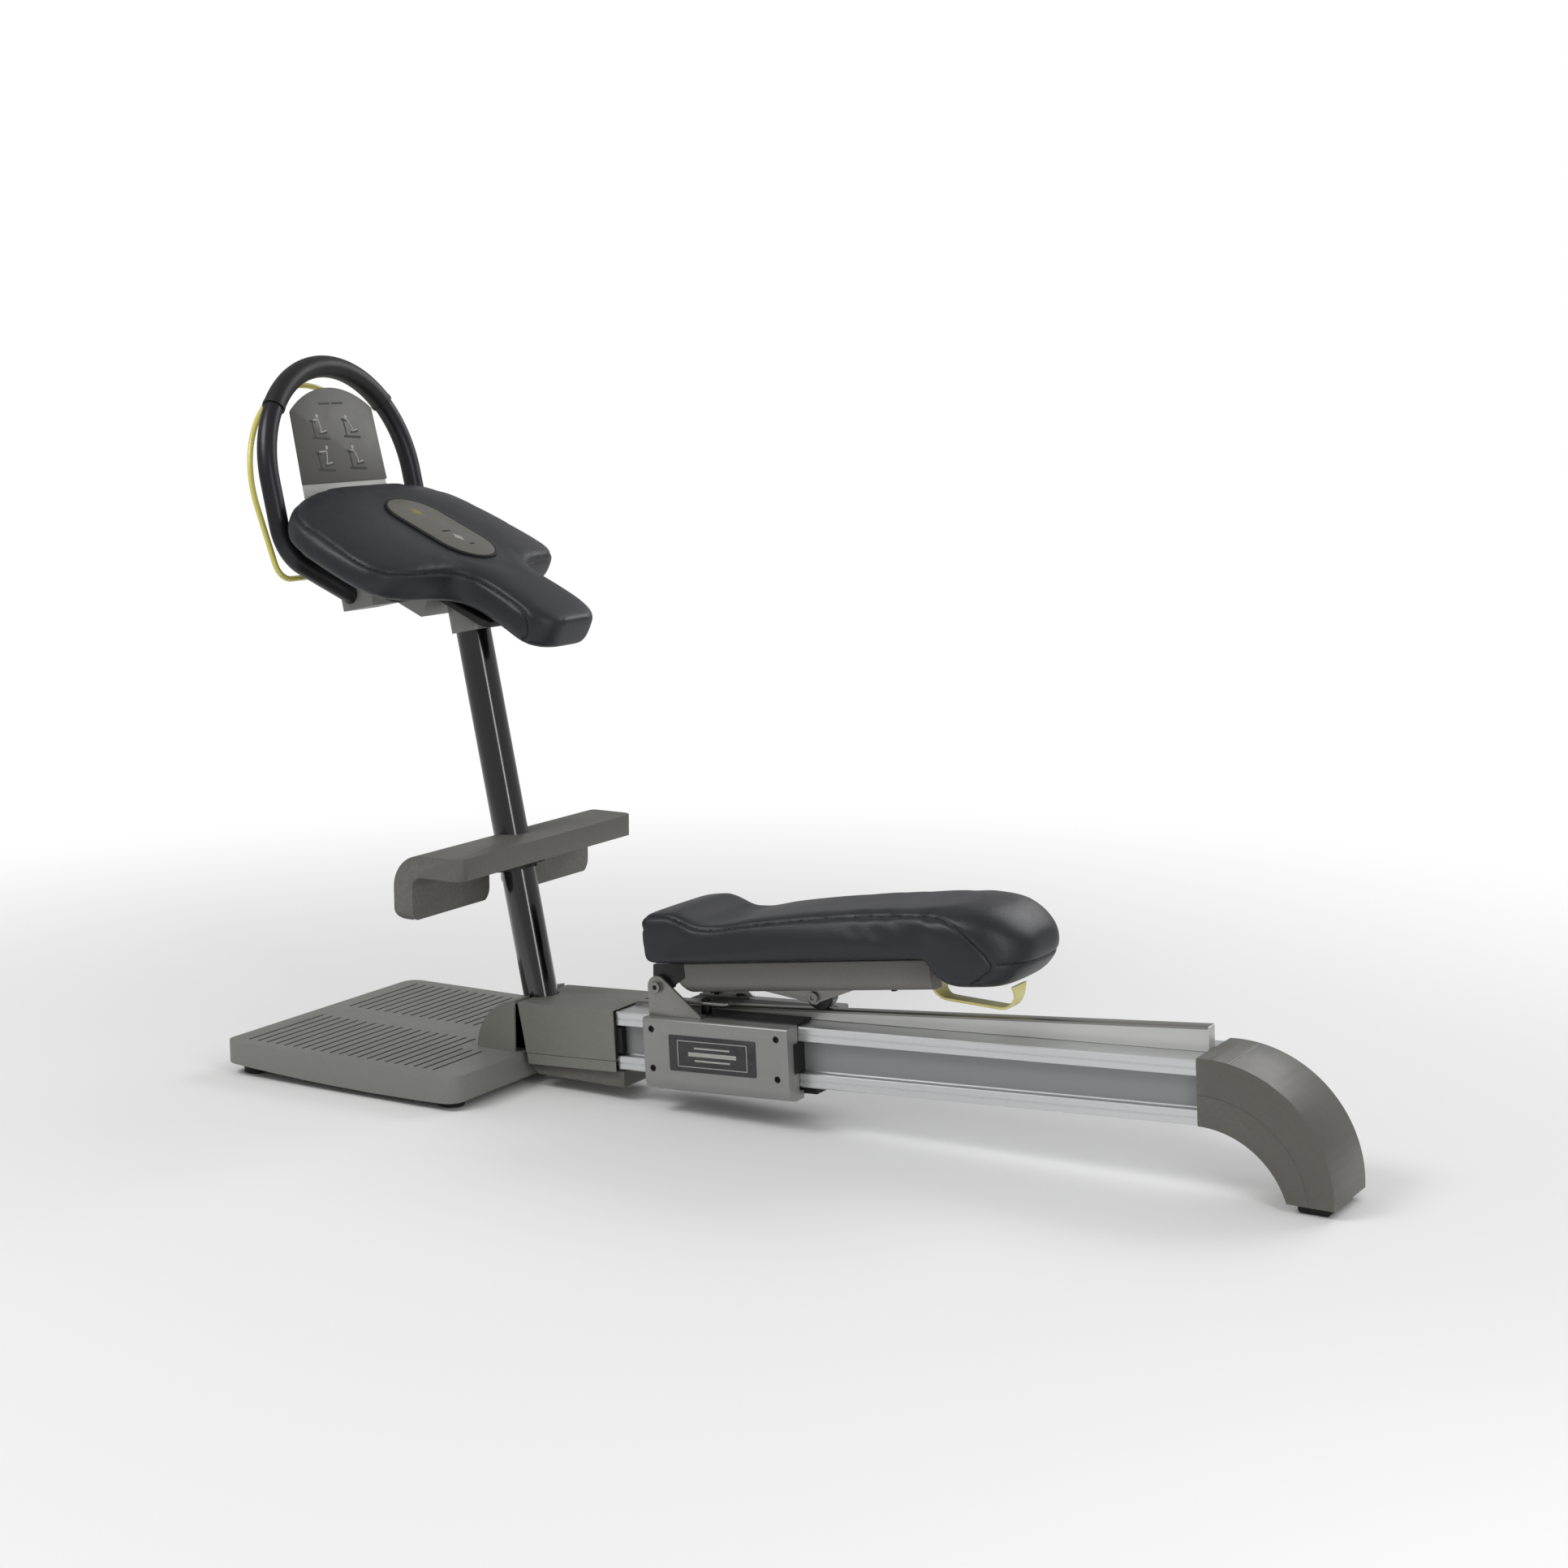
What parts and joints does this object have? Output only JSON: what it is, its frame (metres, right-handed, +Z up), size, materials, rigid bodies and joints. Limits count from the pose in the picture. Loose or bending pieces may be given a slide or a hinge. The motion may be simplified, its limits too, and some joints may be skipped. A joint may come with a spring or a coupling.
{
  "type": "kneeling stretch bench",
  "caption": "Kneeling stretch bench: slotted foot platform, leaning column with forearm pad and arch handle, inclined rail with sliding shin cushion.",
  "frame": {"origin": "on the floor, under the middle of the whole object's box, in the bench's middle plane", "axes": "+X from the foot platform to the rear foot, +Y to the far side, +Z up"},
  "size_m": [1.9622, 0.536, 1.2387],
  "materials": {
    "platform_grey": "moulded, fine grain",
    "housing_grey": "moulded, satin",
    "foot_grey": "moulded, satin",
    "bar_grey": "moulded, satin",
    "tray_grey": "moulded, satin",
    "inlay_grey": "satin",
    "plastic_black": "matt",
    "wheel_nylon": "satin",
    "roller_black": "satin",
    "placard_pale": "satin",
    "placard_dark": "satin, printed pictograms",
    "label_dark": "satin, plain",
    "handle_yellow": "satin",
    "rubber_black": "matt",
    "steel_black": "powder coat",
    "column_black": "gloss black",
    "bail_yellow": "gloss yellow",
    "bracket_silver": "silver paint",
    "carriage_silver": "satin silver paint",
    "rail_aluminium": "anodised",
    "ramp_pale": "anodised pale",
    "arch_chrome": "dark chrome",
    "bracket_steel": "zinc plated",
    "fastener_steel": "zinc plated",
    "screw_black": "black oxide",
    "board_ply": "painted plywood",
    "leather_navy": "grained upholstery cover"
  },
  "bodies": {
    "base": {"platform_tray": "platform_grey", "grip_strips": "rubber_black", "platform_feet": "rubber_black", "platform_beam": "steel_black", "housing_cover": "housing_grey", "housing_lower": "housing_grey", "nose_fairing": "housing_grey", "skid_block": "foot_grey", "column_socket": "steel_black", "rail_extrusion": "rail_aluminium", "ramp_bar": "ramp_pale", "ramp_screws": "fastener_steel", "rail_buffers": "rubber_black", "rail_end_plug": "plastic_black", "rear_foot_upper": "foot_grey", "rear_foot_lower": "foot_grey", "rear_foot_pad": "rubber_black", "column_tube": "column_black", "foot_bar": "bar_grey", "foot_bar_collar": "steel_black", "head_bracket": "bracket_silver", "pad_board": "board_ply", "arm_pad": "leather_navy", "pad_inlay": "inlay_grey", "arch_tube": "arch_chrome", "arch_grip": "rubber_black", "placard_back": "placard_pale", "placard_face": "placard_dark", "placard_screws": "fastener_steel", "bail_hinge_plates": "steel_black"},
    "bail": {"bail_lever": "bail_yellow", "bail_pins": "fastener_steel"},
    "carriage": {"carriage_side_near": "carriage_silver", "carriage_side_far": "carriage_silver", "carriage_bridge": "plastic_black", "carriage_top_plates": "plastic_black", "label_plates": "label_dark", "side_screws": "screw_black", "groove_wipers": "rubber_black", "wheel_axles": "fastener_steel", "hinge_brackets": "bracket_steel", "hinge_bolts": "fastener_steel", "lock_pivot_bolt": "screw_black", "brake_shoe": "rubber_black"},
    "lever": {"lock_lever": "bracket_steel"},
    "cushion": {"cushion_tray": "tray_grey", "shin_cushion": "leather_navy", "hinge_ears": "steel_black", "roller_gussets": "bracket_steel", "roller_axle": "fastener_steel", "pull_handle": "handle_yellow"},
    "roller": {"ramp_roller": "roller_black"},
    "wheel_a": {"wheel_front_near": "wheel_nylon"},
    "wheel_b": {"wheel_rear_near": "wheel_nylon"},
    "wheel_c": {"wheel_front_far": "wheel_nylon"},
    "wheel_d": {"wheel_rear_far": "wheel_nylon"}
  },
  "joints": [
    {"name": "carriage_slide", "type": "slide", "parent": "base", "child": "carriage", "axis": [0.9985, 0, 0.0544], "range_m": [-0.06, 0.56]},
    {"name": "cushion_tilt", "type": "hinge", "parent": "carriage", "child": "cushion", "pos_m": [-0.18102, 0, 0.21396], "axis": [0, -1, 0], "range_deg": [-0.45, 4.1]},
    {"name": "roller_spin", "type": "hinge", "parent": "cushion", "child": "roller", "pos_m": [0.08357, 0, 0.21682], "axis": [0, 1, 0], "continuous": true},
    {"name": "bail_squeeze", "type": "hinge", "parent": "base", "child": "bail", "pos_m": [-0.90268, 0, 0.85826], "axis": [0, 1, 0], "range_deg": [0, 4], "stiffness_Nm_per_rad": 8, "springref_deg": -3.44},
    {"name": "lock_turn", "type": "hinge", "parent": "carriage", "child": "lever", "pos_m": [-0.10811, -0.05, 0.18649], "axis": [-0.0544, 0, 0.9985], "range_deg": [-15, 20]},
    {"name": "wheel_a_spin", "type": "hinge", "parent": "carriage", "child": "wheel_a", "pos_m": [-0.15512, -0.0605, 0.11182], "axis": [0, 1, 0], "continuous": true},
    {"name": "wheel_b_spin", "type": "hinge", "parent": "carriage", "child": "wheel_b", "pos_m": [0.0366, -0.0605, 0.12227], "axis": [0, 1, 0], "continuous": true},
    {"name": "wheel_c_spin", "type": "hinge", "parent": "carriage", "child": "wheel_c", "pos_m": [-0.15512, 0.0605, 0.11182], "axis": [0, 1, 0], "continuous": true},
    {"name": "wheel_d_spin", "type": "hinge", "parent": "carriage", "child": "wheel_d", "pos_m": [0.0366, 0.0605, 0.12227], "axis": [0, 1, 0], "continuous": true}
  ],
  "couplings": [
    {"joint": "cushion_tilt", "follows": "carriage_slide", "rad_per_m": 0.1252},
    {"joint": "roller_spin", "follows": "carriage_slide", "rad_per_m": 40.486},
    {"joint": "wheel_a_spin", "follows": "carriage_slide", "rad_per_m": 38.91},
    {"joint": "wheel_b_spin", "follows": "carriage_slide", "rad_per_m": 38.91},
    {"joint": "wheel_c_spin", "follows": "carriage_slide", "rad_per_m": 38.91},
    {"joint": "wheel_d_spin", "follows": "carriage_slide", "rad_per_m": 38.91}
  ]
}
